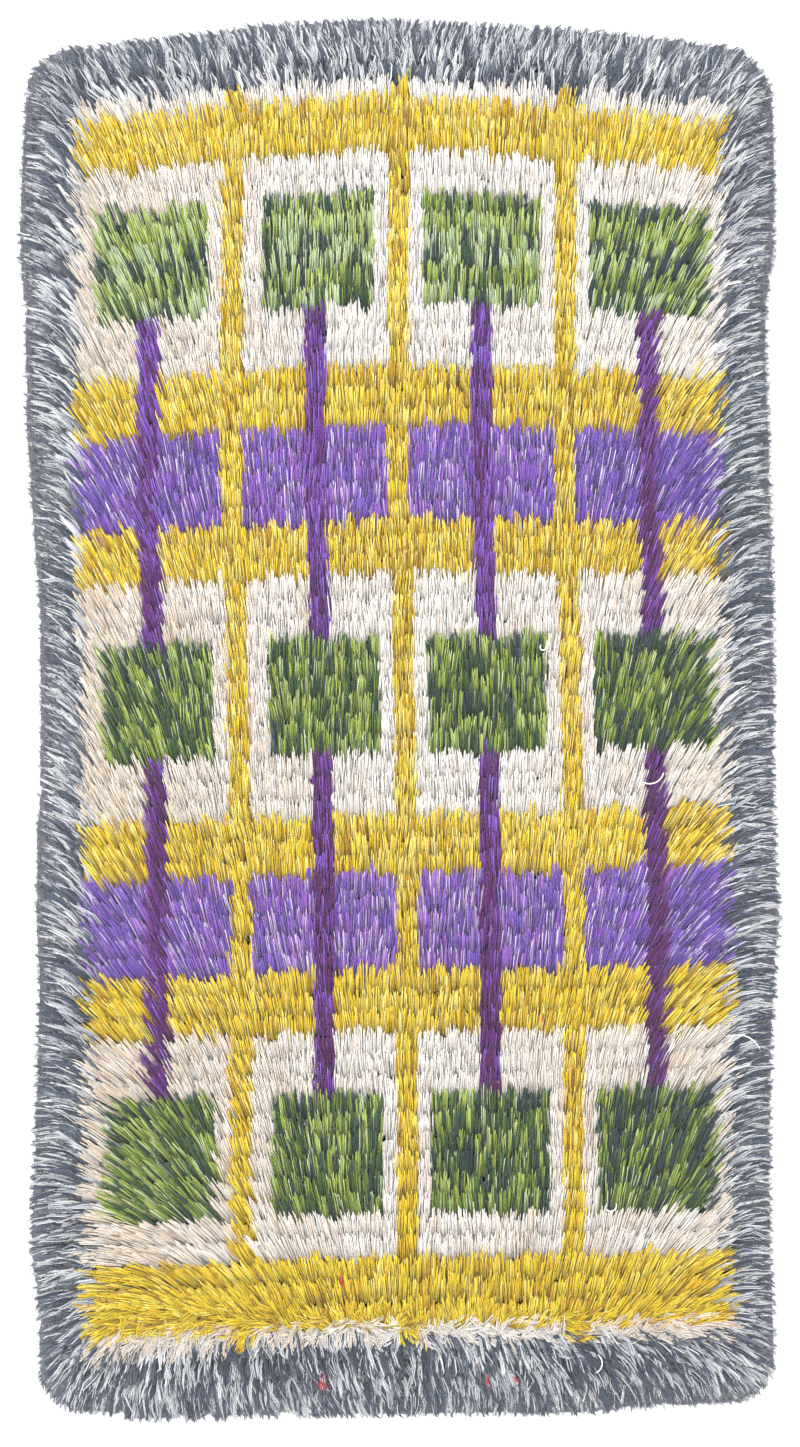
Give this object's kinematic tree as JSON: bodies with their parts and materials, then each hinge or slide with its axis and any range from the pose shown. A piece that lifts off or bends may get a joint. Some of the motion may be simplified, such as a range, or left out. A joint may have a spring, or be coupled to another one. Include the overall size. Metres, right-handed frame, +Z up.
{
  "type": "wool pile rug",
  "caption": "Long-pile wool rug with a lattice of stripes and squares, lying flat, with rounded corners and loose locks of yarn at its edge.",
  "frame": {"origin": "on the floor under the centre of the rug's outline", "axes": "+Y along the rug towards the end that the pile lies towards, +X across it to the right, +Z up out of the pile"},
  "size_m": [1.0388, 1.893, 0.0332],
  "materials": {
    "wool_cream": "undyed cream wool yarn",
    "wool_yellow": "dyed yellow wool yarn",
    "wool_green": "dyed green wool yarn, light and dark",
    "wool_violet": "dyed violet wool yarn",
    "wool_plum": "dyed dark plum wool yarn",
    "wool_slate": "slate and light grey wool yarn",
    "ground_weave": "woven wool ground"
  },
  "bodies": {
    "root": {"pile_rug": "wool_cream"}
  },
  "joints": []
}
